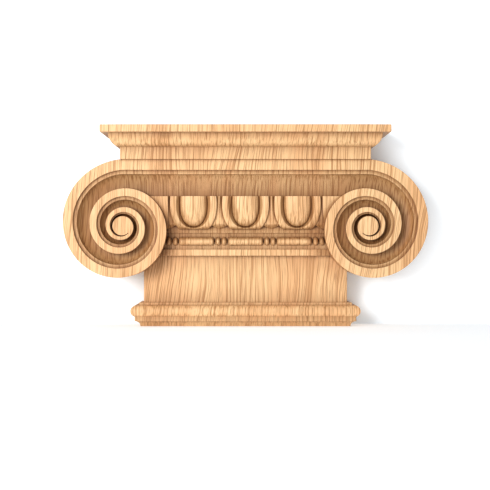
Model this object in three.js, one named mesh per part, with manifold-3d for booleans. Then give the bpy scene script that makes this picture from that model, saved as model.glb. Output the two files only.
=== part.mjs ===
// Ionic pilaster capital, carved in one piece from oak.
// Millimetres, +Z up, +X right, the carved face towards -Y.
// It is drawn with the wall plane at y = 0, and depths are given as distances in front of the wall.
// At the end it moves back, so that the origin is the middle of its box on the underside.

import * as THREE from 'three';
import { mergeVertices } from 'three/addons/utils/BufferGeometryUtils.js';
import Module from 'manifold-3d';

const wasm = await Module();
wasm.setup();

// Block
const capitalHeight = 161;
const neckWidth = 165.2;
const neckDepth = 29.6;

// Mouldings below the neck, from the underside up
const cavettoHeight = 4.3;
const lowerFilletHeight = 3.7;
const torusRadius = 4.75;
const neckFilletHeight = 2;

// Mouldings above the neck
const fasciaHeight = 9.7;
const ovoloHeight = 10.9;
const topFilletHeight = 5.8;

// How far each moulding stands out beyond the neck, at the front and at both sides
const undersideProjection = 2.7;
const lowerFilletProjection = 7;
const torusProjection = 10.2;
const neckFilletProjection = 3.7;
const fasciaProjection = 17.7;
const ovoloProjection = 26.3;
const topFilletProjection = 32.4;

// Scrolls
const eyeSpacing = 198;
const scrollFace = 46;
const scrollRadius = 53.8;
const eyeRadius = 7.18;
const scrollTurns = 3.616;
const scrollTightening = 2.158;
const rimWidth = 8.6;
const rimTaper = 2.3;
const rimStep = 2;
const ledgeWidth = 3.2;
const ledgeTaper = 0.5;
const widestLedgeShare = 0.4;
const channelDepth = 8.5;
const channelDepthTaper = 0.9;
const narrowestChannel = 0.3;

// Bands between the scrolls, from the top of the scroll rim down
const canalisHeight = 29.5;
const echinusHeight = 26.5;
const echinusFilletHeight = 3;
const beadBandHeight = 13.3;
const collarHeight = 5.1;

// Faces of the bands, as distances in front of the wall
const echinusTopFace = 44.5;
const echinusFootFace = 35.2;
const echinusFilletFace = 34;
const beadBandFace = 32.8;
const collarFace = 36;

// Eggs, shells and darts
const eggCount = 3;
const eggPitch = 41.8;
const eggDrop = 6.3;
const eggHalfWidth = 11;
const eggHalfHeight = 18.1;
const shellGrooveSide = 2.8;
const shellGrooveFoot = 1.2;
const shellSideWidth = 5;
const shellFootWidth = 4.6;
const shellBevel = 0.4;
const eggRoundness = 2.3;
const eggCrest = 1;
const eggFootDepth = 3.5;
const groundDepth = 4;
const dartCrestDepth = 1;
const dartTopSideDepth = 3.4;
const dartFootSideDepth = 1.6;
const dartTopHalfWidth = 3.2;
const dartFootHalfWidth = 7.2;
const dartPointHalfWidth = 0.4;
const dartShoulderHeight = 3.7;
const endGap = 1.6;

// Beads and reels
const beadRadius = 3.5;
const beadProud = 0.3;
const beadHalfLength = 2.35;
const reelLength = 29.1;
const reelPitch = 39.6;
const beadPitch = 5;

// How far joined forms run into each other
const embed = 3;
const insideNeck = 5;
const coveredRimShare = 1 / 3;

// Fineness of the facets
const arcSteps = 6;
const spiralStep = THREE.MathUtils.degToRad(9);
const eggSegments = 32;
const beadSegments = 12;
const beadEndSteps = 3;
const mergeDistance = 1e-4;

// Heights and half-widths that follow
const cavettoTop = cavettoHeight;
const lowerFilletTop = cavettoTop + lowerFilletHeight;
const neckTop = capitalHeight - topFilletHeight - ovoloHeight - fasciaHeight;
const fasciaTop = neckTop + fasciaHeight;
const ovoloTop = fasciaTop + ovoloHeight;
const eyeX = eyeSpacing / 2;
const eyeHeight = neckTop - scrollRadius;
const echinusTop = neckTop - canalisHeight;
const echinusFoot = echinusTop - echinusHeight;
const beadBandTop = echinusFoot - echinusFilletHeight;
const beadBandFoot = beadBandTop - beadBandHeight;
const collarFoot = beadBandFoot - collarHeight;
const dartShoulder = echinusFoot + dartShoulderHeight;
const totalDepth = neckDepth + topFilletProjection;
const insideFace = neckDepth - insideNeck;
const eggRowHalfLength = (eggCount - 1) / 2 * eggPitch + eggHalfWidth + shellGrooveSide + shellSideWidth;
const endBlockStart = eggRowHalfLength + endGap;

// Axes for shapes drawn in the picture plane, and for sections carried along X
const picturePlane = new THREE.Matrix4().makeBasis(
  new THREE.Vector3(1, 0, 0), new THREE.Vector3(0, 0, 1), new THREE.Vector3(0, -1, 0));
const sectionPlane = new THREE.Matrix4().makeBasis(
  new THREE.Vector3(0, -1, 0), new THREE.Vector3(0, 0, 1), new THREE.Vector3(-1, 0, 0));

// A point given by x, its distance in front of the wall, and z
function at(x, front, z) {
  return new THREE.Vector3(x, -front, z);
}

// Closed mesh to solid, turned the right way out
function solid(geometry) {
  geometry.deleteAttribute('normal');
  geometry.deleteAttribute('uv');
  const merged = mergeVertices(geometry, mergeDistance);
  const position = merged.getAttribute('position');
  const corners = Array.from(merged.index.array);
  const triangles = [];
  let volume = 0;
  for (let i = 0; i < corners.length; i += 3) {
    const [a, b, c] = corners.slice(i, i + 3);
    if (a === b || b === c || c === a) continue;
    const [p, q, r] = [a, b, c].map((k) => new THREE.Vector3().fromBufferAttribute(position, k));
    volume += p.dot(q.cross(r));
    triangles.push(a, b, c);
  }
  if (volume < 0) triangles.reverse();
  return new wasm.Manifold(new wasm.Mesh({
    numProp: 3,
    vertProperties: new Float32Array(position.array),
    triVerts: new Uint32Array(triangles),
  }));
}

// Joins a list of solids
function join(solids) {
  return solids.reduce((sum, next) => sum.add(next));
}

// Triangles that close a ring of points, as places in the ring, in the ring's own direction
function capTriangles(ring) {
  const normal = new THREE.Vector3();
  ring.forEach((p, i) => {
    const q = ring[(i + 1) % ring.length];
    normal.add(new THREE.Vector3().crossVectors(p, q));
  });
  const side = new THREE.Vector3().subVectors(ring[1], ring[0]).normalize();
  const up = new THREE.Vector3().crossVectors(normal, side).normalize();
  const flat = ring.map((p) => new THREE.Vector2(p.dot(side), p.dot(up)));
  return THREE.ShapeUtils.triangulateShape(flat, []).map(([a, b, c]) => {
    const turn = flat[b].clone().sub(flat[a]).cross(flat[c].clone().sub(flat[a]));
    return turn > 0 ? [a, b, c] : [a, c, b];
  });
}

// Solid through a row of closed rings with equal numbers of points
function loft(rings) {
  const count = rings[0].length;
  const last = (rings.length - 1) * count;
  const index = [];
  for (let row = 0; row < last; row += count) {
    for (let i = 0; i < count; i++) {
      const next = (i + 1) % count;
      index.push(row + i, row + next, row + count + next);
      index.push(row + i, row + count + next, row + count + i);
    }
  }
  capTriangles(rings[0]).forEach(([a, b, c]) => index.push(a, c, b));
  capTriangles(rings.at(-1)).forEach(([a, b, c]) => index.push(last + a, last + b, last + c));
  const geometry = new THREE.BufferGeometry().setFromPoints(rings.flat());
  geometry.setIndex(index);
  return solid(geometry);
}

// Outline in the picture plane, carried from the wall to a face
function prism(outline, face) {
  const geometry = new THREE.ExtrudeGeometry(new THREE.Shape(outline), { depth: face, bevelEnabled: false });
  return solid(geometry.applyMatrix4(picturePlane));
}

// Section of (distance in front of the wall, z), carried along X between two places
function run(section, fromX, toX) {
  const shape = new THREE.Shape(section.map(([front, z]) => new THREE.Vector2(front, z)));
  const geometry = new THREE.ExtrudeGeometry(shape, { depth: toX - fromX, bevelEnabled: false });
  return solid(geometry.applyMatrix4(sectionPlane).translate(toX, 0, 0));
}

// Both sides of the middle
function mirrored(make) {
  return join([make(-1), make(1)]);
}

// Profile of the mouldings around the block, as (projection beyond the neck, z)
function blockProfile() {
  const profile = [];
  const quarter = (step) => step / arcSteps * Math.PI / 2;
  for (let i = 0; i <= arcSteps; i++) {
    const turn = quarter(i);
    profile.push([
      lowerFilletProjection - (lowerFilletProjection - undersideProjection) * Math.cos(turn),
      cavettoTop * Math.sin(turn),
    ]);
  }
  profile.push([lowerFilletProjection, lowerFilletTop]);
  const torusCentre = torusProjection - torusRadius;
  const footShare = THREE.MathUtils.clamp((lowerFilletProjection - torusCentre) / torusRadius, 0, 1);
  const footTurn = -Math.acos(footShare);
  const torusMiddle = lowerFilletTop - torusRadius * Math.sin(footTurn);
  const torusTop = torusMiddle + torusRadius;
  for (let i = 0; i <= 2 * arcSteps; i++) {
    const turn = THREE.MathUtils.lerp(footTurn, Math.PI / 2, i / (2 * arcSteps));
    profile.push([
      torusCentre + torusRadius * Math.cos(turn),
      torusMiddle + torusRadius * Math.sin(turn),
    ]);
  }
  profile.push([neckFilletProjection, torusTop]);
  profile.push([neckFilletProjection, torusTop + neckFilletHeight]);
  profile.push([0, torusTop + neckFilletHeight]);
  profile.push([0, neckTop]);
  profile.push([fasciaProjection, neckTop]);
  profile.push([fasciaProjection, fasciaTop]);
  for (let i = 1; i <= arcSteps; i++) {
    const turn = quarter(i);
    profile.push([
      fasciaProjection + (ovoloProjection - fasciaProjection) * Math.sin(turn),
      ovoloTop - ovoloHeight * Math.cos(turn),
    ]);
  }
  profile.push([topFilletProjection, ovoloTop]);
  profile.push([topFilletProjection, capitalHeight]);
  return profile;
}

// Block with its mouldings on three sides and a flat back
function makeBlock() {
  const rings = blockProfile().map(([projection, z]) => {
    const halfWidth = neckWidth / 2 + projection;
    const front = neckDepth + projection;
    return [at(-halfWidth, 0, z), at(halfWidth, 0, z), at(halfWidth, front, z), at(-halfWidth, front, z)];
  });
  return loft(rings);
}

// Radius of the scroll's outer edge, after a turn measured from the top of the scroll
function scrollEdge(turn) {
  const left = Math.max(0, 1 - turn / (2 * Math.PI * scrollTurns));
  return eyeRadius + (scrollRadius - eyeRadius) * left ** scrollTightening;
}

// Widths across the scroll at a turn: rim, ledge, and from the outer edge to the next turn's edge
function scrollWidths(turn) {
  const turns = turn / (2 * Math.PI);
  return {
    rim: rimWidth - rimTaper * turns,
    ledge: ledgeWidth - ledgeTaper * turns,
    pitch: scrollEdge(turn) - scrollEdge(turn + 2 * Math.PI),
  };
}

// Channel from the rim's inner edge to the next turn, as (distance from the outer edge, face)
function channelSection(turn) {
  const { rim, ledge, pitch } = scrollWidths(turn);
  const depth = channelDepth - channelDepthTaper * turn / (2 * Math.PI);
  const ledgeEnd = rim + Math.min(ledge, (pitch - rim) * widestLedgeShare);
  const section = [[rim, scrollFace - rimStep]];
  for (let i = 0; i <= arcSteps; i++) {
    const angle = i / arcSteps * Math.PI / 2;
    section.push([
      ledgeEnd + (pitch - ledgeEnd) * (1 - Math.cos(angle)),
      scrollFace - rimStep - (depth - rimStep) * Math.sin(angle),
    ]);
  }
  return section;
}

// Point at a radius and turn around the eye on one side, -1 for left and 1 for right
function scrollPoint(side, radius, turn, front) {
  return at(side * (eyeX + radius * Math.sin(turn)), front, eyeHeight + radius * Math.cos(turn));
}

// Disc inside the scroll's first turn, with its edge moved in by a share of the rim
function makeDisc(side, inset, face) {
  const steps = Math.round(2 * Math.PI / spiralStep);
  const outline = [];
  for (let i = 0; i <= steps; i++) {
    const turn = i / steps * 2 * Math.PI;
    const p = scrollPoint(side, scrollEdge(turn) - inset, turn, 0);
    outline.push(new THREE.Vector2(p.x, p.z));
  }
  return prism(outline, face);
}

// Cutter that hollows the channel between the turns of the rim
function makeChannelCutter(side) {
  const rings = [];
  for (let i = 0; ; i++) {
    const turn = i * spiralStep;
    const { rim, pitch } = scrollWidths(turn);
    if (pitch - rim < narrowestChannel) break;
    const section = channelSection(turn);
    const above = scrollFace + embed;
    const ring = [[rim, above], ...section, [pitch, above]];
    const edge = scrollEdge(turn);
    rings.push(ring.map(([inward, front]) => scrollPoint(side, edge - inward, turn, front)));
  }
  return loft(rings);
}

// Scroll: a disc out to the spiral edge, with the channel cut into it
function makeScroll(side) {
  return makeDisc(side, 0, scrollFace).subtract(makeChannelCutter(side));
}

// Cushion that joins the scrolls, with the same rim and channel as their tops
function makeCushion() {
  const { rim, pitch } = scrollWidths(0);
  const channel = channelSection(0).map(([down, front]) => [front, neckTop - down]);
  const foot = Math.min(echinusTop, neckTop - pitch) - embed;
  const section = [
    [0, neckTop],
    [scrollFace, neckTop],
    [scrollFace, neckTop - rim],
    ...channel,
    [scrollFace - channelDepth, foot],
    [0, foot],
  ];
  return run(section, -eyeX, eyeX);
}

// Face of the echinus at a height: a quarter round between two faces, steepest at its top
function echinusFace(z, topFace = echinusTopFace, footFace = echinusFootFace, foot = echinusFoot) {
  const fall = THREE.MathUtils.clamp((echinusTop - z) / (echinusTop - foot), 0, 1);
  return footFace + (topFace - footFace) * Math.sqrt(1 - fall * fall);
}

// Section of the echinus between its faces at the top and the foot
function echinusSection(topFace, footFace, foot) {
  const section = [[0, echinusTop]];
  for (let i = 0; i <= 2 * arcSteps; i++) {
    const z = echinusTop - (echinusTop - foot) * Math.sin(i / (2 * arcSteps) * Math.PI / 2);
    section.push([echinusFace(z, topFace, footFace, foot), z]);
  }
  section.push([0, foot]);
  return section;
}

// Straight band between the scrolls
function makeBand(foot, top, face, halfLength) {
  return run([[0, top], [face, top], [face, foot], [0, foot]], -halfLength, halfLength);
}

// Ring of an egg or shell: a rounded oval that follows the echinus, lifted by its relief
function ovalRing(x, halfWidth, halfHeight, relief) {
  const middle = echinusTop - eggDrop;
  const ring = [];
  for (let i = 0; i < eggSegments; i++) {
    const angle = i / eggSegments * 2 * Math.PI;
    const across = Math.sign(Math.cos(angle)) * Math.abs(Math.cos(angle)) ** (2 / eggRoundness);
    const along = Math.sign(Math.sin(angle)) * Math.abs(Math.sin(angle)) ** (2 / eggRoundness);
    const z = middle + halfHeight * along;
    ring.push(at(x + halfWidth * across, echinusFace(z) + relief, z));
  }
  return ring;
}

// Egg in its shell, with a groove between them that slopes up to the shell
function makeEgg(x) {
  const rings = [];
  for (let i = 1; i <= arcSteps; i++) {
    const share = Math.sin(i / arcSteps * Math.PI / 2);
    const relief = (eggCrest + eggFootDepth) * Math.sqrt(1 - share * share) - eggFootDepth;
    rings.push(ovalRing(x, eggHalfWidth * share, eggHalfHeight * share, relief));
  }
  const innerWidth = eggHalfWidth + shellGrooveSide;
  const innerHeight = eggHalfHeight + shellGrooveFoot;
  const outerWidth = innerWidth + shellSideWidth;
  const outerHeight = innerHeight + shellFootWidth;
  rings.push(ovalRing(x, innerWidth, innerHeight, 0));
  rings.push(ovalRing(x, outerWidth - shellBevel, outerHeight - shellBevel, 0));
  rings.push(ovalRing(x, outerWidth, outerHeight, -groundDepth - shellBevel));
  rings.push(rings.at(-1).map((p) => at(p.x, insideFace, p.z)));
  return loft(rings);
}

// Dart beside a shell: a ridge that widens towards its foot and ends in a point
function makeDart(x) {
  const ring = (z, halfWidth, sideDepth) => [
    at(x - halfWidth, insideFace, z),
    at(x - halfWidth, echinusFace(z) - sideDepth, z),
    at(x, echinusFace(z) - dartCrestDepth, z),
    at(x + halfWidth, echinusFace(z) - sideDepth, z),
    at(x + halfWidth, insideFace, z),
  ];
  const rings = [];
  for (let i = 0; i <= arcSteps; i++) {
    const share = i / arcSteps;
    const z = THREE.MathUtils.lerp(echinusTop, dartShoulder, share);
    const width = THREE.MathUtils.lerp(dartTopHalfWidth, dartFootHalfWidth, share ** 2);
    rings.push(ring(z, width, THREE.MathUtils.lerp(dartTopSideDepth, dartFootSideDepth, share)));
  }
  rings.push(ring(echinusFoot, dartPointHalfWidth, dartFootSideDepth));
  return loft(rings);
}

// Echinus: a ground that ends on the fillet's face behind the darts' shoulders, the eggs with darts
// on both sides of each, cut flat at the top and the foot, and a plain block over each end's dart
function makeEchinus() {
  const groundSection = echinusSection(echinusTopFace - groundDepth, echinusFilletFace, dartShoulder);
  const ground = run(groundSection, -endBlockStart - embed, endBlockStart + embed);
  const middle = (eggCount - 1) / 2;
  const eggs = Array.from({ length: eggCount }, (_, i) => makeEgg((i - middle) * eggPitch));
  const darts = Array.from({ length: eggCount + 1 }, (_, i) => makeDart((i - 0.5 - middle) * eggPitch));
  const blocks = [-1, 1].map((side) => {
    const ends = [side * endBlockStart, side * eyeX].sort((a, b) => a - b);
    return run(echinusSection(echinusTopFace, echinusFootFace, echinusFoot), ends[0], ends[1]);
  });
  const carving = join([...eggs, ...darts]).intersect(makeBand(echinusFoot, echinusTop, totalDepth, eyeX));
  return join([ground, carving, ...blocks]);
}

// Round form turned about X, from (distance along X, radius)
function turned(profile, x) {
  const points = profile.map(([along, radius]) => new THREE.Vector2(radius, along));
  const geometry = new THREE.LatheGeometry(points, beadSegments).rotateZ(-Math.PI / 2);
  const middle = (beadBandTop + beadBandFoot) / 2;
  return solid(geometry.translate(x, -beadBandFace - beadProud, middle));
}

// Half-round end of a bead or reel, from the axis out to its full radius
function roundedEnd(start, length) {
  return Array.from({ length: beadEndSteps + 1 }, (_, i) => {
    const angle = i / beadEndSteps * Math.PI / 2;
    return [start - length * Math.cos(angle), beadRadius * Math.sin(angle)];
  });
}

// Bead or reel of a half-length, with a straight middle where it is longer than its rounded ends
function makeBead(x, halfLength) {
  const straight = halfLength - beadHalfLength;
  const left = roundedEnd(-straight, beadHalfLength);
  const right = left.map(([along, radius]) => [-along, radius]).reverse();
  const profile = straight > 0 ? [...left, ...right] : [...left, ...right.slice(1)];
  return turned(profile, x);
}

// Row of long reels with two beads beside each end
function makeBeadRow() {
  const row = [];
  for (const place of [-1, 0, 1]) {
    row.push(makeBead(place * reelPitch, reelLength / 2));
  }
  for (const side of [-1, 1]) {
    for (const gap of [0.5, 1.5]) {
      for (const shift of [-0.5, 0.5]) {
        row.push(makeBead(side * (gap * reelPitch + shift * beadPitch), beadHalfLength));
      }
    }
  }
  return join(row);
}

// Bands and carving between the scrolls, ending inside their rims
function makeBands() {
  const reach = eyeX - embed;
  const bands = [
    makeBand(collarFoot, beadBandFoot, collarFace, reach),
    makeBand(beadBandFoot, beadBandTop, beadBandFace, reach),
    makeBand(beadBandTop, dartShoulder, echinusFilletFace, reach),
    makeEchinus(),
    makeBeadRow(),
  ];
  const inside = mirrored((side) => makeDisc(side, rimWidth * coveredRimShare, totalDepth));
  return join(bands).subtract(inside);
}

const carved = join([makeBlock(), makeCushion(), mirrored(makeScroll), makeBands()]);
const mesh = carved.getMesh();
const geometry = new THREE.BufferGeometry();
geometry.setAttribute('position', new THREE.BufferAttribute(mesh.vertProperties, 3));
geometry.setIndex(new THREE.BufferAttribute(mesh.triVerts, 1));
geometry.computeVertexNormals();

const oak = new THREE.MeshStandardMaterial({ color: 0xd9ab77, roughness: 0.55, metalness: 0 });
const capital = new THREE.Mesh(geometry, oak);
capital.name = 'capital';
capital.position.y = totalDepth / 2;

const group = new THREE.Group();
group.add(capital);
export default group;
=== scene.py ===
# Ionic pilaster capital, carved in one piece from oak, on a pale floor before a pale wall.
# Sizes are in millimetres and become metres where a mesh is made. The few lengths that Blender
# takes as they are have a note that they are metres. A depth is a distance in front of the wall,
# so that a point is (x, front, z), and the capital's flat back lies on the wall.
from math import pi

import bmesh
import bpy
import numpy as np
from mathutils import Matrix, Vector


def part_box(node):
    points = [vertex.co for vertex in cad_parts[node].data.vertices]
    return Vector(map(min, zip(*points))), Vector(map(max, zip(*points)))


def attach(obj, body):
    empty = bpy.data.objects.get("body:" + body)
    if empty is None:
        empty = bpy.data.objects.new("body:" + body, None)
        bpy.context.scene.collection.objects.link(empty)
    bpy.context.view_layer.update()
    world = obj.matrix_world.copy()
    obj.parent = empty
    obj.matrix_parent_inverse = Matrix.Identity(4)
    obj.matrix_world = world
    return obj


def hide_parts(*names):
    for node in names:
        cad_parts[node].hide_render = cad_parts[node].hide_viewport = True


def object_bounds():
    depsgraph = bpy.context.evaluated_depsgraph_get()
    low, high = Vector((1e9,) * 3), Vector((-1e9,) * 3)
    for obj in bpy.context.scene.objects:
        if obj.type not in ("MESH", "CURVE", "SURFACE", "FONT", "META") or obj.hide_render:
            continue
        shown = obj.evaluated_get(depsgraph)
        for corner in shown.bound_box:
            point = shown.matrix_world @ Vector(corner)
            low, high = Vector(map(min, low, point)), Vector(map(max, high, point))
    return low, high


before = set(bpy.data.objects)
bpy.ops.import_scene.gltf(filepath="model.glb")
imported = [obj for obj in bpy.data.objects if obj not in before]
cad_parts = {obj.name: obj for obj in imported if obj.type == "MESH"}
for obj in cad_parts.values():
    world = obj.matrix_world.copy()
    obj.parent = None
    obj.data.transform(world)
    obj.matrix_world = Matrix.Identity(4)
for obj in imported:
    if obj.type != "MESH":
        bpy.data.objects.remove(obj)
cadLow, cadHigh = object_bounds()
low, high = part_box("capital")

metre = 1000.0
wallY = high[1]
capitalHeight = round((high[2] - low[2]) * metre, 3)
totalDepth = round((high[1] - low[1]) * metre, 3)
mergeDistance = 1e-6  # metres
sharpAngle = 0.6  # radians

block = {
    "neckWidth": 165.2,
    "cavettoHeight": 4.3, "lowerFilletHeight": 3.7, "torusRadius": 4.75, "neckFilletHeight": 2,
    "fasciaHeight": 9.7, "ovoloHeight": 10.9, "topFilletHeight": 5.8,
    "undersideProjection": 2.7, "lowerFilletProjection": 7, "torusProjection": 10.2,
    "neckFilletProjection": 3.7, "fasciaProjection": 17.7, "ovoloProjection": 26.3,
    "topFilletProjection": 32.4,
    "arris": 0.35, "arcSteps": 24, "lead": 1,
}
neckDepth = totalDepth - block["topFilletProjection"]
neckTop = capitalHeight - block["topFilletHeight"] - block["ovoloHeight"] - block["fasciaHeight"]

scroll = {
    "eyeSpacing": 198, "face": 46, "radius": 53.8, "eyeRadius": 7.18,
    "turns": 3.616, "tightening": 2.158,
    "rimWidth": 8.6, "rimTaper": 2.3, "rimStep": 2, "ledgeWidth": 3.2, "ledgeTaper": 0.5,
    "widestLedgeShare": 0.4, "channelDepth": 8.5, "channelDepthTaper": 0.9,
    "narrowestChannel": 0.3, "tailLength": 1.6, "tailDepth": 0.9, "stepShare": 0.8,
    "coveredRimShare": 1 / 3, "shoulder": 2,
    "arris": 0.3, "hair": 0.01, "stepsInTurn": 144, "coveSteps": 14,
}
eyeX = scroll["eyeSpacing"] / 2
eyeHeight = neckTop - scroll["radius"]

bands = {
    "canalisHeight": 29.5, "echinusHeight": 26.5, "echinusFilletHeight": 3,
    "beadBandHeight": 13.3, "collarHeight": 5.1,
    "echinusTopFace": 44.5, "echinusFootFace": 35.2, "echinusFilletFace": 34,
    "beadBandFace": 32.8, "collarFace": 36,
    "arris": 0.3, "arcSteps": 32, "embed": 3, "insideNeck": 5, "clearance": 1,
}
echinusTop = neckTop - bands["canalisHeight"]
echinusFoot = echinusTop - bands["echinusHeight"]
beadBandTop = echinusFoot - bands["echinusFilletHeight"]
beadBandFoot = beadBandTop - bands["beadBandHeight"]
collarFoot = beadBandFoot - bands["collarHeight"]
insideFace = neckDepth - bands["insideNeck"]


# Points in metres from x, distance in front of the wall, and height
def placed(x, front, z):
    x, front, z = np.broadcast_arrays(x, front, z)
    return np.stack([x / metre, wallY - front / metre, z / metre], axis=-1)


softening = {"sideShare": 0.45, "straight": 0.9, "steps": 4}


# Line with its sharp corners rounded: a corner becomes a quadratic curve between two points on
# its sides, each a radius away or at most a share of the shorter side. Rows of lines share one
# pattern, and a corner that is nearly straight stays as it is.
def softened(points, radius):
    points = np.asarray(points, float)
    corner = points[..., 1:-1, :]
    back = points[..., :-2, :] - corner
    forth = points[..., 2:, :] - corner
    backLength = np.linalg.norm(back, axis=-1, keepdims=True)
    forthLength = np.linalg.norm(forth, axis=-1, keepdims=True)
    reach = np.minimum(radius, softening["sideShare"] * np.minimum(backLength, forthLength))
    back = back / backLength
    forth = forth / forthLength
    straightness = -(back * forth).sum(axis=-1)
    sharp = straightness.reshape(-1, corner.shape[-2]).mean(axis=0) < softening["straight"]
    share = np.linspace(0, 1, softening["steps"] + 1)[:, None]
    start = (corner + back * reach)[..., None, :]
    end = (corner + forth * reach)[..., None, :]
    middle = corner[..., None, :]
    curve = (1 - share) ** 2 * start + 2 * share * (1 - share) * middle + share ** 2 * end
    curve = np.where(sharp[:, None, None], curve, middle)
    keep = sharp[:, None] | (np.arange(softening["steps"] + 1) == 0)
    return np.concatenate([points[..., :1, :], curve[..., keep, :], points[..., -1:, :]], axis=-2)


# Quads between the rows of a grid whose first point has a number of its own
def gridQuads(rows, columns, closed=False, first=0):
    row = np.arange(rows - 1)[:, None] * columns
    here = np.arange(columns if closed else columns - 1)[None, :]
    beside = (here + 1) % columns
    quads = np.stack([row + here, row + beside, row + columns + beside, row + columns + here], axis=-1)
    return (quads.reshape(-1, 4) + first).tolist()


# Mesh object from points and faces, its doubles merged and its faces turned outwards
def meshObject(name, points, faces):
    mesh = bpy.data.meshes.new(name)
    mesh.from_pydata(np.asarray(points).reshape(-1, 3), [], faces)
    form = bmesh.new()
    form.from_mesh(mesh)
    bmesh.ops.remove_doubles(form, verts=form.verts, dist=mergeDistance)
    bmesh.ops.dissolve_degenerate(form, edges=form.edges, dist=mergeDistance)
    bmesh.ops.recalc_face_normals(form, faces=form.faces)
    form.to_mesh(mesh)
    form.free()
    thing = bpy.data.objects.new(name, mesh)
    bpy.context.scene.collection.objects.link(thing)
    return thing


# Closed solids, each through its own rows of closed rings, in one mesh object
def loftObject(name, solids):
    points = []
    faces = []
    first = 0
    for rings in solids:
        rows, columns = rings.shape[:2]
        faces += gridQuads(rows, columns, closed=True, first=first)
        faces.append(list(range(first, first + columns)))
        last = first + (rows - 1) * columns
        faces.append(list(range(last, last + columns)))
        points.append(rings.reshape(-1, 3))
        first += rows * columns
    return meshObject(name, np.concatenate(points), faces)


# Closed sections of (front, z), each carried along X between its two places
def runRings(section, fromX, toX):
    section = np.asarray(section, float)
    ends = np.array([fromX, toX], float)[:, None]
    return placed(ends, section[None, :, 0], section[None, :, 1])


# One object made by joining others to it and cutting others from it, in order
def combined(base, steps):
    for number, (operation, other) in enumerate(steps):
        change = base.modifiers.new(f"step{number}", "BOOLEAN")
        change.operation = operation
        change.solver = "MANIFOLD"
        change.object = other
    graph = bpy.context.evaluated_depsgraph_get()
    mesh = bpy.data.meshes.new_from_object(base.evaluated_get(graph))
    mesh.name = base.name
    base.modifiers.clear()
    base.data = mesh
    for _, other in steps:
        bpy.data.objects.remove(other)
    return base


# Profile of the mouldings as (projection, z): a hollow quarter circle, a fillet, a round that
# starts on the fillet's edge, a small fillet, the neck, a fascia, a quarter round and a fillet
def blockProfile():
    turn = np.linspace(0, pi / 2, block["arcSteps"] + 1)
    reach = block["lowerFilletProjection"] - block["undersideProjection"]
    hollow = np.stack([
        block["lowerFilletProjection"] - reach * np.cos(turn),
        block["cavettoHeight"] * np.sin(turn)], axis=-1)
    filletTop = block["cavettoHeight"] + block["lowerFilletHeight"]
    radius = block["torusRadius"]
    centre = block["torusProjection"] - radius
    foot = -np.arccos((block["lowerFilletProjection"] - centre) / radius)
    middle = filletTop - radius * np.sin(foot)
    around = np.linspace(foot, pi / 2, 2 * block["arcSteps"] + 1)
    torus = np.stack([centre + radius * np.cos(around), middle + radius * np.sin(around)], axis=-1)
    torusTop = middle + radius
    neckFoot = torusTop + block["neckFilletHeight"]
    fasciaTop = neckTop + block["fasciaHeight"]
    ovoloTop = fasciaTop + block["ovoloHeight"]
    growth = block["ovoloProjection"] - block["fasciaProjection"]
    ovolo = np.stack([
        block["fasciaProjection"] + growth * np.sin(turn),
        ovoloTop - block["ovoloHeight"] * np.cos(turn)], axis=-1)
    corners = [
        hollow, [[block["lowerFilletProjection"], filletTop]], torus,
        [[block["neckFilletProjection"], torusTop], [block["neckFilletProjection"], neckFoot]],
        [[0, neckFoot], [0, neckTop], [block["fasciaProjection"], neckTop]],
        [[block["fasciaProjection"], fasciaTop]], ovolo[1:],
        [[block["topFilletProjection"], ovoloTop], [block["topFilletProjection"], capitalHeight]],
    ]
    # A point inside the block before and after the profile, so that its two ends are rounded too
    inside = -block["lead"]
    extended = np.concatenate([[[inside, 0]], *corners, [[inside, capitalHeight]]])
    return softened(extended, block["arris"])[1:-1]


# Block: every point of the profile becomes a ring with a straight back and two rounded corners
def makeBlock():
    projection, z = blockProfile().T
    halfWidth = block["neckWidth"] / 2 + projection
    front = neckDepth + projection
    side = 2 * block["lead"]
    corner = softened([[0, -side], [0, 0], [-side, 0]], block["arris"])[1:-1]
    rightX = halfWidth[:, None] + corner[:, 0]
    rightFront = front[:, None] + corner[:, 1]
    x = np.concatenate([-halfWidth[:, None], halfWidth[:, None], rightX, -rightX[:, ::-1]], axis=1)
    back = np.zeros((len(z), 2))
    fronts = np.concatenate([back, rightFront, rightFront[:, ::-1]], axis=1)
    return loftObject("capital_oak", [placed(x, fronts, z[:, None])])


# Radius of the scroll's outer edge: it shrinks from the full radius to the eye's as a power of
# the turns that are left
def scrollEdge(turn):
    left = np.clip(1 - turn / (2 * pi * scroll["turns"]), 0, None)
    return scroll["eyeRadius"] + (scroll["radius"] - scroll["eyeRadius"]) * left ** scroll["tightening"]


# Widths across the scroll at a turn: the rim's, and from the outer edge to the next turn's edge
def scrollWidths(turn):
    rim = scroll["rimWidth"] - scroll["rimTaper"] * turn / (2 * pi)
    return rim, scrollEdge(turn) - scrollEdge(turn + 2 * pi)


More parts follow.
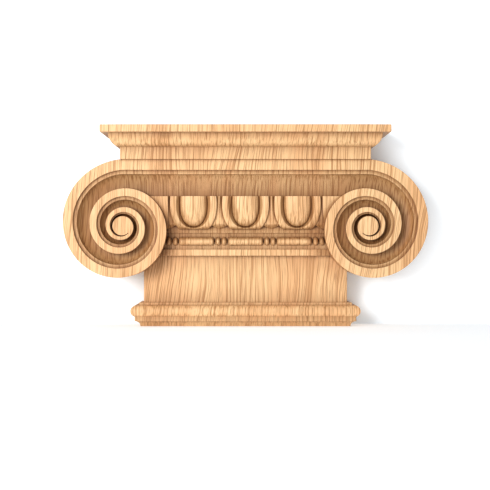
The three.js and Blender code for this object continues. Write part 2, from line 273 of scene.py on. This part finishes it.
# Profile across one turn as rows of (inward, drop): rim, step, ledge, and a cove that falls
# steeply and flattens towards the next turn's wall. The channel grows shallow at its tail.
def scrollProfile(turn):
    rim, pitch = scrollWidths(turn)
    turns = turn / (2 * pi)
    opening = np.clip((pitch - rim) / scroll["tailLength"], 0, 1)
    fade = opening * opening * (3 - 2 * opening)
    deep = scroll["channelDepth"] - scroll["channelDepthTaper"] * turns
    depth = scroll["tailDepth"] + (deep - scroll["tailDepth"]) * fade
    step = np.minimum(scroll["rimStep"], scroll["stepShare"] * depth)
    ledge = scroll["ledgeWidth"] - scroll["ledgeTaper"] * turns
    ledgeEnd = rim + np.minimum(ledge, (pitch - rim) * scroll["widestLedgeShare"])
    angle = np.linspace(0, pi / 2, scroll["coveSteps"] + 1)
    coveIn = ledgeEnd[:, None] + (pitch - ledgeEnd)[:, None] * (1 - np.cos(angle))
    coveDrop = step[:, None] + (depth - step)[:, None] * np.sin(angle)
    none = np.zeros_like(turn)
    joint = none + 2 * scroll["arris"]
    inward = np.column_stack([none, none, rim, rim, coveIn, pitch])
    drop = np.column_stack([joint, none, none, step, coveDrop, joint])
    return softened(np.stack([inward, drop], axis=-1), scroll["arris"])


# Scroll on one side: rows of the profile wound inwards along the spiral, a wall down to the back,
# an end face where the cushion joins it, and a flat eye where the channel has closed
def makeScroll(side):
    steps = scroll["stepsInTurn"]
    wholeTurns = int(np.ceil(scroll["turns"]))
    turn = np.arange(wholeTurns * steps) * 2 * pi / steps
    rim, pitch = scrollWidths(turn)
    lastRow = int(np.argmax(pitch - rim < scroll["narrowestChannel"]))
    turn = turn[:lastRow + steps + 1]
    profile = scrollProfile(turn)
    radius = scrollEdge(turn)[:, None] - profile[..., 0]
    x = side * (eyeX + radius * np.sin(turn)[:, None])
    z = eyeHeight + radius * np.cos(turn)[:, None]
    grid = placed(x, scroll["face"] - profile[..., 1], z)
    rows, columns = grid.shape[:2]
    topStart = int(np.argmax(profile[0, :, 1] <= 0))
    rimFlat = scroll["rimWidth"] - scroll["arris"] - scroll["hair"]
    topEnd = int(np.argmax(profile[0, :, 0] > rimFlat))
    numbers = np.arange(rows * columns).reshape(rows, columns)
    faces = gridQuads(lastRow + 1, columns)
    arris = numbers[lastRow:, :topStart + 1]
    tail = np.stack([arris[:-1, :-1], arris[:-1, 1:], arris[1:, 1:], arris[1:, :-1]], axis=-1)
    faces += tail.reshape(-1, 4).tolist()
    faces.append([*numbers[lastRow:, topStart], numbers[lastRow, topEnd]])
    faces.append([*numbers[lastRow, topEnd:], *numbers[-1, 1:topStart + 1]])
    back = grid[:steps + 1, 0].copy()
    back[:, 1] = wallY
    backNumbers = np.arange(steps + 1) + rows * columns
    edge = numbers[:steps + 1, 0]
    wall = np.stack([edge[:-1], edge[1:], backNumbers[1:], backNumbers[:-1]], axis=-1)
    faces += wall.tolist()
    faces.append([*numbers[0], backNumbers[-1], backNumbers[0]])
    faces.append(list(backNumbers))
    points = np.concatenate([grid.reshape(-1, 3), back])
    used = np.zeros(len(points), bool)
    used[[number for face in faces for number in face]] = True
    renumber = np.cumsum(used) - 1
    faces = [[int(renumber[number]) for number in face] for face in faces]
    return meshObject("scroll", points[used], faces)


# Prisms inside both scrolls, with the spiral's edge moved in, that end the bands inside the rims
def makeCores():
    steps = scroll["stepsInTurn"]
    turn = np.arange(steps + 1) * 2 * pi / steps
    radius = scrollEdge(turn) - scroll["rimWidth"] * scroll["coveredRimShare"]
    ends = np.array([-bands["clearance"], totalDepth + bands["clearance"]], float)[:, None]
    solids = [
        placed(side * (eyeX + radius * np.sin(turn)), ends, eyeHeight + radius * np.cos(turn))
        for side in (-1, 1)]
    return loftObject("cores", solids)


# Cushion between the scrolls: their profile at the top, carried straight across. The profile's
# first two points give way to the flat top.
def makeCushion():
    inward, drop = scrollProfile(np.zeros(1))[0, :-1].T
    _, pitch = scrollWidths(0)
    onCove = inward < pitch - 2 * scroll["arris"]
    front = scroll["face"] - drop[onCove]
    z = neckTop - inward[onCove]
    foot = echinusTop - bands["embed"]
    floor = scroll["face"] - scroll["channelDepth"]
    section = np.concatenate([
        [[0, neckTop], [scroll["face"] - scroll["shoulder"], neckTop]],
        np.stack([front, z], axis=-1)[2:],
        [[floor, neckTop - pitch], [floor, foot], [0, foot]]])
    return loftObject("cushion", [runRings(section, -eyeX, eyeX)])


# Face of the echinus at a height: a quarter of an ellipse between two faces, steepest at its top
def echinusFace(
        z, topFace=bands["echinusTopFace"], footFace=bands["echinusFootFace"], foot=echinusFoot):
    fall = np.clip((echinusTop - z) / (echinusTop - foot), 0, 1)
    return footFace + (topFace - footFace) * np.sqrt(1 - fall * fall)


# Curve of the echinus from its top down, between its faces at the top and the foot, as (front, z)
def echinusCurve(topFace, footFace, foot):
    angle = np.linspace(0, pi / 2, bands["arcSteps"] + 1)
    z = echinusTop - (echinusTop - foot) * np.sin(angle)
    return np.stack([echinusFace(z, topFace, footFace, foot), z], axis=-1)


eggs = {
    "count": 3, "pitch": 41.8, "drop": 6.3, "halfWidth": 11, "halfHeight": 18.1,
    "grooveSide": 2.8, "grooveFoot": 1.2, "shellSide": 5, "shellFoot": 4.6,
    "roundness": 2.3, "crest": 1, "footDepth": 3.5, "groundDepth": 4, "shellCrown": 0.45,
    "arris": 0.35, "segments": 128, "domeSteps": 18, "crownSteps": 6, "firstDomeAngle": 0.04,
    "grooveLead": 0.5, "shellFlare": 0.2, "shellSink": 0.5,
    "dartCrestDepth": 1, "dartTopSideDepth": 3.4, "dartFootSideDepth": 1.6,
    "dartTopHalfWidth": 3.2, "dartFootHalfWidth": 7.2, "dartPointHalfWidth": 0.4,
    "dartShoulderHeight": 3.7, "dartSteps": 24, "dartArris": 0.3, "endGap": 1.6,
}
eggsHalfLength = (eggs["count"] - 1) / 2 * eggs["pitch"] + eggs["halfWidth"] \
    + eggs["grooveSide"] + eggs["shellSide"]
endBlockStart = eggsHalfLength + eggs["endGap"]
dartShoulder = echinusFoot + eggs["dartShoulderHeight"]


# Egg in its shell: rounded ovals follow the echinus, lifted by a relief that falls as an ellipse
# over the egg and slopes up from the groove to the shell's slightly crowned face
def makeEggs():
    angle = np.linspace(0, 2 * pi, eggs["segments"], endpoint=False)
    power = 2 / eggs["roundness"]
    across = np.sign(np.cos(angle)) * np.abs(np.cos(angle)) ** power
    along = np.sign(np.sin(angle)) * np.abs(np.sin(angle)) ** power
    dome = np.sin(np.linspace(eggs["firstDomeAngle"], pi / 2, eggs["domeSteps"]))
    domeRelief = (eggs["crest"] + eggs["footDepth"]) * np.sqrt(1 - dome * dome) - eggs["footDepth"]
    inner = eggs["grooveSide"]
    outer = inner + eggs["shellSide"]
    crown = np.linspace(0, 1, eggs["crownSteps"] + 1)
    crownRelief = 4 * eggs["shellCrown"] * crown * (1 - crown) - eggs["shellCrown"]
    crownLine = np.stack([inner + (outer - inner) * crown, crownRelief], axis=-1)
    line = np.concatenate([
        [[-eggs["grooveLead"], -eggs["footDepth"]], [0, -eggs["footDepth"]]],
        crownLine,
        [[outer + eggs["shellFlare"], -eggs["groundDepth"] - eggs["shellSink"]]]])
    beyond, relief = softened(line, eggs["arris"])[1:].T
    footReach = [0, eggs["grooveFoot"], eggs["grooveFoot"] + eggs["shellFoot"]]
    extra = np.interp(beyond, [0, inner, outer], footReach)
    halfWidth = np.concatenate([eggs["halfWidth"] * dome, eggs["halfWidth"] + beyond])[:, None]
    halfHeight = np.concatenate([eggs["halfHeight"] * dome, eggs["halfHeight"] + extra])[:, None]
    relief = np.concatenate([domeRelief, relief])[:, None]
    z = echinusTop - eggs["drop"] + halfHeight * along
    front = echinusFace(z) + relief
    z = np.concatenate([z, z[-1:]])
    front = np.concatenate([front, np.full_like(front[-1:], insideFace)])
    halfWidth = np.concatenate([halfWidth, halfWidth[-1:]])
    places = (np.arange(eggs["count"]) - (eggs["count"] - 1) / 2) * eggs["pitch"]
    return loftObject("eggs", [placed(x + halfWidth * across, front, z) for x in places])


# Darts: each a ridge beside a shell, widening as the square of the way down, ending in a point.
# Its crest is taken down by half of what its soft edges fall.
def makeDarts():
    share = np.linspace(0, 1, eggs["dartSteps"])
    z = np.append(echinusTop + (dartShoulder - echinusTop) * share, echinusFoot)
    growth = eggs["dartFootHalfWidth"] - eggs["dartTopHalfWidth"]
    half = np.append(eggs["dartTopHalfWidth"] + growth * share ** 2, eggs["dartPointHalfWidth"])
    crest = echinusFace(z) - eggs["dartCrestDepth"]
    rise = eggs["dartTopSideDepth"] - eggs["dartFootSideDepth"]
    side = echinusFace(z) - eggs["dartFootSideDepth"] - rise * (1 - np.append(share, 1))
    soft = np.minimum(eggs["dartArris"], half / 2)
    fall = soft * (crest - side) / half
    shoulder = crest - fall
    inside = np.full_like(z, insideFace)
    x = np.stack([-half, -half, -soft, 0 * half, soft, half, half], axis=1)
    front = np.stack([inside, side, shoulder, crest - fall * 0.5, shoulder, side, inside], axis=1)
    places = (np.arange(eggs["count"] + 1) - eggs["count"] / 2) * eggs["pitch"]
    return loftObject("darts", [placed(place + x, front, z[:, None]) for place in places])


beads = {
    "radius": 3.5, "proud": 0.3, "halfLength": 2.35, "reelLength": 29.1, "reelPitch": 39.6,
    "beadPitch": 5, "segments": 40, "endSteps": 9, "firstEndAngle": 0.03,
}


# Beads and reels: round forms turned about X, each end a quarter of an ellipse
def makeBeads():
    reelPlaces = [(place * beads["reelPitch"], beads["reelLength"] / 2) for place in (-1, 0, 1)]
    beadPlaces = [
        (side * (gap * beads["reelPitch"] + shift * beads["beadPitch"]), beads["halfLength"])
        for side in (-1, 1) for gap in (0.5, 1.5) for shift in (-0.5, 0.5)]
    around = np.linspace(0, 2 * pi, beads["segments"], endpoint=False)
    angle = np.linspace(beads["firstEndAngle"], pi / 2, beads["endSteps"])
    middle = (beadBandTop + beadBandFoot) / 2
    solids = []
    for place, half in reelPlaces + beadPlaces:
        start = half - beads["halfLength"]
        end = start + beads["halfLength"] * np.cos(angle)
        size = beads["radius"] * np.sin(angle)
        shared = 1 if start == 0 else 0
        along = np.concatenate([-end, end[::-1][shared:]])[:, None]
        radius = np.concatenate([size, size[::-1][shared:]])[:, None]
        front = bands["beadBandFace"] + beads["proud"] + radius * np.cos(around)
        solids.append(placed(place + along, front, middle + radius * np.sin(around)))
    return loftObject("beads", solids)


# Bands and carving between the scrolls: the ground of the carving ends on the fillet's face behind
# the darts' shoulders, the carving is cut flat at its top and foot, and all ends inside the rims
def makeBands():
    reach = eyeX - bands["embed"]
    lower = [
        [bands["echinusFilletFace"], dartShoulder],
        [bands["echinusFilletFace"], beadBandTop], [bands["beadBandFace"], beadBandTop],
        [bands["beadBandFace"], beadBandFoot], [bands["collarFace"], beadBandFoot],
        [bands["collarFace"], collarFoot], [0, collarFoot]]
    lower = softened(lower, bands["arris"])
    groundTop = bands["echinusTopFace"] - eggs["groundDepth"]
    groundCurve = echinusCurve(groundTop, bands["echinusFilletFace"], dartShoulder)
    ground = np.concatenate([[[0, echinusTop]], groundCurve, lower[1:]])
    groundObject = loftObject("bands", [runRings(ground, -reach, reach)])
    plainCurve = echinusCurve(bands["echinusTopFace"], bands["echinusFootFace"], echinusFoot)
    plain = np.concatenate([[[0, echinusTop]], plainCurve, [[0, echinusFoot]]])
    plain = softened(plain, bands["arris"])
    ends = loftObject("ends", [runRings(plain, side * endBlockStart, side * reach) for side in (-1, 1)])
    room = [[0, echinusTop], [totalDepth, echinusTop], [totalDepth, echinusFoot], [0, echinusFoot]]
    limits = loftObject("limits", [runRings(room, -reach, reach)])
    carving = combined(makeEggs(), [("UNION", makeDarts()), ("INTERSECT", limits)])
    steps = [("UNION", carving), ("UNION", ends), ("UNION", makeBeads()), ("DIFFERENCE", makeCores())]
    return combined(groundObject, steps)


print("carving the block and its mouldings")
capital = makeBlock()
print("cutting the scrolls and the cushion")
scrolls = [("UNION", makeScroll(side)) for side in (-1, 1)]
cushion = ("UNION", makeCushion())
print("carving the eggs, darts and beads")
capital = combined(capital, [cushion, *scrolls, ("UNION", makeBands())])


# Clean faces, smooth where they bend gently, with flats kept flat by their area
def finishSurface(thing):
    form = bmesh.new()
    form.from_mesh(thing.data)
    bmesh.ops.remove_doubles(form, verts=form.verts, dist=2 * mergeDistance)
    bmesh.ops.dissolve_degenerate(form, edges=form.edges, dist=mergeDistance)
    openEdges = sum(not edge.is_manifold for edge in form.edges)
    form.to_mesh(thing.data)
    form.free()
    thing.data.shade_smooth()
    thing.data.set_sharp_from_angle(angle=sharpAngle)
    even = thing.modifiers.new("evenFaces", "WEIGHTED_NORMAL")
    even.keep_sharp = True
    triangles = sum(len(face.vertices) - 2 for face in thing.data.polygons)
    print("capital:", triangles, "triangles,", openEdges, "open edges")


finishSurface(capital)


# Wraps a socket so that Python sums add Math nodes
class Wire:
    def __init__(self, maker, socket):
        self.maker = maker
        self.socket = socket

    def math(self, operation, *others):
        return self.maker.node("ShaderNodeMath", {"operation": operation}, {
            number: value for number, value in enumerate((self, *others))})

    def __add__(self, other):
        return self.math("ADD", other)

    __radd__ = __add__

    def __mul__(self, other):
        return self.math("MULTIPLY", other)

    def __sub__(self, other):
        return self.math("SUBTRACT", other)

    def __rsub__(self, other):
        return self.maker.node("ShaderNodeMath", {"operation": "SUBTRACT"}, {0: other, 1: self})

    def __truediv__(self, other):
        return self.math("DIVIDE", other)

    def __pow__(self, other):
        return self.math("POWER", other)


# A material and its node tree, with a method that adds any node and short ones for common nodes
class Finish:
    def __init__(self, name):
        self.material = bpy.data.materials.new(name)
        self.material.use_nodes = True
        self.tree = self.material.node_tree
        self.shader = self.tree.nodes["Principled BSDF"]

    def node(self, kind, settings=None, values=None, output=0):
        made = self.tree.nodes.new(kind)
        for name, value in (settings or {}).items():
            if name == "stops":
                ramp = made.color_ramp
                while len(ramp.elements) < len(value):
                    ramp.elements.new(0.5)
                for element, (place, colour) in zip(ramp.elements, value):
                    element.position = place
                    element.color = (*colour, 1)
            else:
                setattr(made, name, value)
        for name, value in (values or {}).items():
            self.feed(made.inputs[name], value)
        return Wire(self, made.outputs[output])

    def feed(self, socket, value):
        if isinstance(value, Wire):
            self.tree.links.new(value.socket, socket)
        else:
            socket.default_value = value

    def split(self, vector):
        made = self.tree.nodes.new("ShaderNodeSeparateXYZ")
        self.feed(made.inputs[0], vector)
        return [Wire(self, output) for output in made.outputs]

    def noise(self, vector, pattern):
        stretch, detail, roughness = pattern
        return self.node("ShaderNodeTexNoise", {"noise_dimensions": "3D"}, {
            "Vector": self.stretched(vector, stretch), "Scale": 1.0,
            "Detail": detail, "Roughness": roughness})

    def stretched(self, vector, scale):
        return self.node("ShaderNodeVectorMath", {"operation": "MULTIPLY"}, {0: vector, 1: scale})

    def smooth(self, value, fromLow, fromHigh):
        return self.node("ShaderNodeMapRange", {"interpolation_type": "SMOOTHSTEP"}, {
            "Value": value, "From Min": fromLow, "From Max": fromHigh})

    def openness(self, distance, samples, onlyLocal=False):
        settings = {"samples": samples, "only_local": onlyLocal}
        return self.node("ShaderNodeAmbientOcclusion", settings, {"Distance": distance}, output="AO")

    # A Mix node's colour sockets share their names with its others, so they go by their numbers
    def mixed(self, share, first, second, blend="MIX"):
        made = self.tree.nodes.new("ShaderNodeMix")
        made.data_type = "RGBA"
        made.blend_type = blend
        for number, value in ((0, share), (6, first), (7, second)):
            self.feed(made.inputs[number], value)
        return Wire(self, made.outputs[2])


# Each noise has its stretches per millimetre across the board, through it and along the grain,
# then its detail and its roughness. It runs from 0 to 1 about 0.5. Each streak is (x, half-width,
# strength). An edge is the two values between which a mask rises. The relief's distance is in
# metres.
oak = {
    "pithX": -420.0, "pithY": 60.0, "leanX": 0.05, "ring": 3.1, "wander": 12.0, "ripples": 0.9,
    "bendThrough": 0.4, "ringBendThrough": 0.5,
    "bendNoise": ((0.016, 0.003, 0.009), 2.0, 0.4),
    "rippleNoise": ((0.11, 0.02, 0.009), 2.0, 0.55),
    "fibreNoise": ((0.75, 0.14, 0.008), 2.0, 0.6),
    "fineNoise": ((1.5, 0.3, 0.018), 1.0, 0.5),
    "poreNoise": ((1.9, 0.4, 0.06), 1.0, 0.5),
    "broadNoise": ((0.045, 0.045, 0.008), 3.0, 0.6),
    "streakNoise": ((0.35, 0.35, 0.006), 2.0, 0.6),
    "streaks": [(-73, 14, 0.45), (138, 22, 0.4), (-20, 7, 0.12), (52, 9, 0.14)],
    "earlyStartEdge": (0.55, 0.9), "earlyEndEdge": (0.93, 1.0), "poreEdge": (0.62, 0.7),
    "streakEdge": (0.35, 0.7), "warmEdge": (0.4, 0.68), "facingEdge": (0.15, 0.6),
    "earlyPores": 0.1, "earlyDarkness": 0.15, "ringDarkness": 0.6, "heartDarkness": 0.3,
    "streakDarkness": 0.36, "streakBalance": 0.3, "fibreDarkness": 2.2, "fineDarkness": 4.2,
    "poreDarkness": 0.45, "sideGrain": 0.35,
    "light": (0.80, 0.51, 0.26, 1), "dark": (0.46, 0.23, 0.09, 1), "warm": (0.74, 0.42, 0.2, 1),
    "poreColour": (0.24, 0.11, 0.045, 1),
    "roughness": 0.5, "poreRoughness": 0.2, "fibreRoughness": 0.15, "shine": 0.3,
    "reliefStrength": 0.35, "reliefDistance": 0.00025,
    "fibreRelief": 0.3, "fineRelief": 0.2, "poreRelief": 0.6, "earlyRelief": 0.25,
}


# Figure of the oak: growth rings about a leaning pith behind the board, bent by noise that is
# drawn out along the grain; dark porous earlywood, fibres, pore dashes, darker streaks and broad
# warm areas. The fine grain is weaker where the share is small. It gives the colour, and the
# earlywood, fibres, fine grain and pores that the surface follows.
def oakFigure(finish, grain, share):
    x, y, z = finish.split(grain)
    bend = finish.noise(grain, oak["bendNoise"])
    shift = (bend - 0.5) * 2 * oak["wander"] - z * oak["leanX"]
    bent = finish.node("ShaderNodeCombineXYZ", None, {
        0: x + shift, 1: y + shift * oak["bendThrough"], 2: z})
    ripple = finish.noise(bent, oak["rippleNoise"])
    across = x + shift - oak["pithX"]
    through = y + shift * oak["ringBendThrough"] - oak["pithY"]
    radius = (across * across + through * through) ** 0.5
    rings = radius / oak["ring"] + (ripple - 0.5) * oak["ripples"]
    phase = rings.math("FRACT")
    early = finish.smooth(phase, *oak["earlyStartEdge"]) \
        * (1 - finish.smooth(phase, *oak["earlyEndEdge"]))
    ringNumber = rings.math("FLOOR")
    ringStrength = finish.node("ShaderNodeTexWhiteNoise", {"noise_dimensions": "1D"}, {"W": ringNumber})
    fibre = finish.noise(bent, oak["fibreNoise"])
    fine = finish.noise(bent, oak["fineNoise"])
    pores = finish.noise(bent, oak["poreNoise"])
    pore = finish.smooth(pores + early * oak["earlyPores"], *oak["poreEdge"])
    broad = finish.noise(bent, oak["broadNoise"])
    streak = finish.noise(bent, oak["streakNoise"])
    heart = 0
    for middleX, halfWidth, strength in oak["streaks"]:
        away = (x + shift - middleX).math("ABSOLUTE")
        heart = heart + (1 - finish.smooth(away, 0, halfWidth)) * strength
    fineGrain = (fibre - 0.5) * oak["fibreDarkness"] + (fine - 0.5) * oak["fineDarkness"]
    darkness = early * (oak["earlyDarkness"] + ringStrength * oak["ringDarkness"] + heart) \
        + heart * (oak["heartDarkness"] + streak) \
        + (finish.smooth(streak, *oak["streakEdge"]) - oak["streakBalance"]) * oak["streakDarkness"] \
        + fineGrain * share
    base = finish.mixed(finish.smooth(broad + heart, *oak["warmEdge"]), oak["light"], oak["warm"])
    shaded = finish.mixed(darkness.math("MAXIMUM", 0).math("MINIMUM", 1), base, oak["dark"])
    colour = finish.mixed(pore * oak["poreDarkness"] * share, shaded, oak["poreColour"])
    return colour, early, fibre, fine, pore


# The ramps give the colour of painted shade at each openness of the surface: occlusion shade
# painted into the oak's colour. The edges are distances in millimetres over which an area begins or
# ends, and the reaches are in metres.
paintedShade = {
    "hollowReach": 0.017, "creviceReach": 0.0035, "samples": 12,
    "hollow": [(0.2, (0.36, 0.27, 0.19)), (0.5, (0.50, 0.41, 0.32)),
               (0.86, (0.56, 0.48, 0.39)), (0.97, (1, 1, 1))],
    "crevice": [(0.3, (0.46, 0.36, 0.27)), (0.72, (1, 1, 1))],
    "foot": (0.80, 0.77, 0.73, 1), "neckShare": 0.35, "mouldingShare": 0.65, "ledgeClear": 0.45,
    "mouldingEdge": (-0.6, 0.1), "carvedFaceEdge": (0.3, 1.3), "carvedFootEdge": (20, 22),
    "ledgeFootEdge": (-0.2, 0.2), "ledgeTopEdge": (-2.5, 0), "ledgeFaceEdge": (0.6, 1.4),
    "footEdge": (-0.4, 0.2),
}


# Painted shade in the hollows and crevices, darker the less open the surface is: occlusion shade
# painted into the colour. The hollow shade is weak on the neck, stronger on the mouldings above it
# and full in the carved field between them. Both shades are weaker on the ledge below the beads.
# The mouldings at the foot get an even painted shade.
def paintedShading(finish, colour, front, z):
    def over(value, place, edge):
        begin, end = paintedShade[edge]
        return finish.smooth(value, place + begin, place + end)

    above = over(z, neckTop, "mouldingEdge")
    carved = over(front, neckDepth, "carvedFaceEdge") * over(z, 0, "carvedFootEdge") * (1 - above)
    share = paintedShade["neckShare"] + carved * (1 - paintedShade["neckShare"]) \
        + above * (paintedShade["mouldingShare"] - paintedShade["neckShare"])
    beadMiddle = (beadBandTop + beadBandFoot) / 2
    # painted light: the ledge below the beads gets less painted shade, as if it caught the light from
    # above
    ledge = over(z, beadBandFoot, "ledgeFootEdge") * (1 - over(z, beadMiddle, "ledgeTopEdge")) \
        * (1 - over(front, bands["collarFace"], "ledgeFaceEdge"))
    clearing = 1 - ledge * paintedShade["ledgeClear"]
    # painted shade: each openness darkens the colour by multiplying in its ramp's tint
    for kind, strength in (("hollow", share * clearing), ("crevice", clearing)):
        openness = finish.openness(paintedShade[kind + "Reach"], paintedShade["samples"], onlyLocal=True)
        shadeTint = finish.node("ShaderNodeValToRGB", {"stops": paintedShade[kind]}, {0: openness})
        colour = finish.mixed(strength, colour, shadeTint, "MULTIPLY")
    # painted shade on the mouldings at the foot, which face down
    foot = 1 - over(z, block["cavettoHeight"] + block["lowerFilletHeight"], "footEdge")
    return finish.mixed(foot, colour, paintedShade["foot"], "MULTIPLY")


# Oak: its figure, painted shade over it, a satin surface and a fine relief of pores and fibres. The
# fine grain is weaker on faces that look away from both the front and the back.
def makeOak():
    finish = Finish("oak")
    normal = finish.node("ShaderNodeTexCoord", output="Normal")
    facing = finish.smooth(finish.split(normal)[1].math("ABSOLUTE"), *oak["facingEdge"])
    grainShare = oak["sideGrain"] + facing * (1 - oak["sideGrain"])
    place = finish.node("ShaderNodeTexCoord", output="Object")
    grain = finish.stretched(place, (metre, metre, metre))
    colour, early, fibre, fine, pore = oakFigure(finish, grain, grainShare)
    _, y, z = finish.split(grain)
    finish.feed(finish.shader.inputs["Base Color"], paintedShading(finish, colour, wallY * metre - y, z))
    roughness = oak["roughness"] + pore * oak["poreRoughness"] + (fibre - 0.5) * oak["fibreRoughness"]
    finish.feed(finish.shader.inputs["Roughness"], roughness)
    finish.shader.inputs["Specular IOR Level"].default_value = oak["shine"]
    relief = finish.node("ShaderNodeBump", None, {
        "Strength": oak["reliefStrength"], "Distance": oak["reliefDistance"],
        "Height": fibre * oak["fibreRelief"] + fine * oak["fineRelief"]
                  - pore * oak["poreRelief"] - early * oak["earlyRelief"]})
    finish.feed(finish.shader.inputs["Normal"], relief)
    return finish.material


print("finishing the oak")
capital.data.materials.clear()
capital.data.materials.append(makeOak())
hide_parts("capital")
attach(capital, "root")


# The camera's lens, sensor, distance and aim are in millimetres, the other lengths in metres
studio = {
    "lens": 89.45, "sensor": 36, "distance": 1020, "aimX": -0.36, "aimZ": 65.9,
    "worldStrength": 0.475, "keyPower": 16.5, "keySize": 0.7, "keyPlace": (-0.68, -1.15, 0.32),
    "clipStart": 0.05, "clipEnd": 20,
    "pale": (0.84, 0.90, 0.95, 1), "paleRoughness": 0.9, "paleShine": 0.1, "glow": 0.42,
    "wallReach": 0.02, "wallSamples": 16, "reach": 4.0, "floorGap": 0.0002, "wallGap": 0.0005,
}


# Matt pale finish that glows a little, for the floor and the wall
def makePale(name):
    finish = Finish(name)
    finish.shader.inputs["Base Color"].default_value = studio["pale"]
    finish.shader.inputs["Roughness"].default_value = studio["paleRoughness"]
    finish.shader.inputs["Specular IOR Level"].default_value = studio["paleShine"]
    finish.shader.inputs["Emission Color"].default_value = (1, 1, 1, 1)
    finish.shader.inputs["Emission Strength"].default_value = studio["glow"]
    return finish


# Flat stage piece from its four corners
def makePlane(name, corners, finish):
    thing = meshObject(name, np.array(corners, float), [[0, 1, 2, 3]])
    thing.data.materials.append(finish.material)
    return thing


print("setting the floor, the wall, the light and the camera")
scene = bpy.context.scene
reach = studio["reach"]
floorZ = low[2] - studio["floorGap"]
makePlane("floor", [
    (-reach, -reach, floorZ), (reach, -reach, floorZ), (reach, reach, floorZ), (-reach, reach, floorZ)],
    makePale("floorPale"))


# Wall behind the capital: its glow is weaker where the capital stands close, a painted contact
# shadow such as a wall under a wide soft light shows, and it is clear from behind and for light
def makeWall():
    finish = makePale("wallPale")
    openness = finish.openness(studio["wallReach"], studio["wallSamples"])
    # painted shadow: the wall's glow falls with its openness next to the capital
    finish.feed(finish.shader.inputs["Emission Color"], openness * openness)
    clear = finish.tree.nodes.new("ShaderNodeBsdfTransparent")
    path = finish.tree.nodes.new("ShaderNodeLightPath")
    geometry = finish.tree.nodes.new("ShaderNodeNewGeometry")
    seen = Wire(finish, path.outputs["Is Camera Ray"]) * (1 - Wire(finish, geometry.outputs["Backfacing"]))
    mix = finish.tree.nodes.new("ShaderNodeMixShader")
    finish.feed(mix.inputs[0], seen)
    finish.tree.links.new(clear.outputs[0], mix.inputs[1])
    finish.tree.links.new(finish.shader.outputs[0], mix.inputs[2])
    finish.tree.links.new(mix.outputs[0], finish.tree.nodes["Material Output"].inputs["Surface"])
    wallPlane = wallY + studio["wallGap"]
    wall = makePlane("wall", [
        (-reach, wallPlane, floorZ), (reach, wallPlane, floorZ),
        (reach, wallPlane, reach), (-reach, wallPlane, reach)], finish)
    if wall.data.polygons[0].normal.y > 0:
        wall.data.flip_normals()


makeWall()


# Round soft light that looks at the middle of the capital
def makeLight(name, place, size, power):
    light = bpy.data.lights.new(name, "AREA")
    light.shape = "DISK"
    light.size = size
    light.energy = power
    thing = bpy.data.objects.new(name, light)
    thing.location = place
    towards = (cadLow + cadHigh) / 2 - thing.location
    thing.rotation_euler = towards.to_track_quat("-Z", "Y").to_euler()
    scene.collection.objects.link(thing)


makeLight("key", studio["keyPlace"], studio["keySize"], studio["keyPower"])
world = bpy.data.worlds.new("studio")
world.use_nodes = True
background = world.node_tree.nodes["Background"]
background.inputs["Color"].default_value = (1, 1, 1, 1)
background.inputs["Strength"].default_value = studio["worldStrength"]
scene.world = world
scene.view_settings.view_transform = "Standard"
scene.view_settings.look = "None"

cameraData = bpy.data.cameras.new("camera")
cameraData.lens = studio["lens"]
cameraData.sensor_width = studio["sensor"]
cameraData.clip_start = studio["clipStart"]
cameraData.clip_end = studio["clipEnd"]
camera = bpy.data.objects.new("camera", cameraData)
camera.location = (studio["aimX"] / metre, wallY - studio["distance"] / metre, studio["aimZ"] / metre)
camera.rotation_euler = (pi / 2, 0, 0)
scene.collection.objects.link(camera)
scene.camera = camera
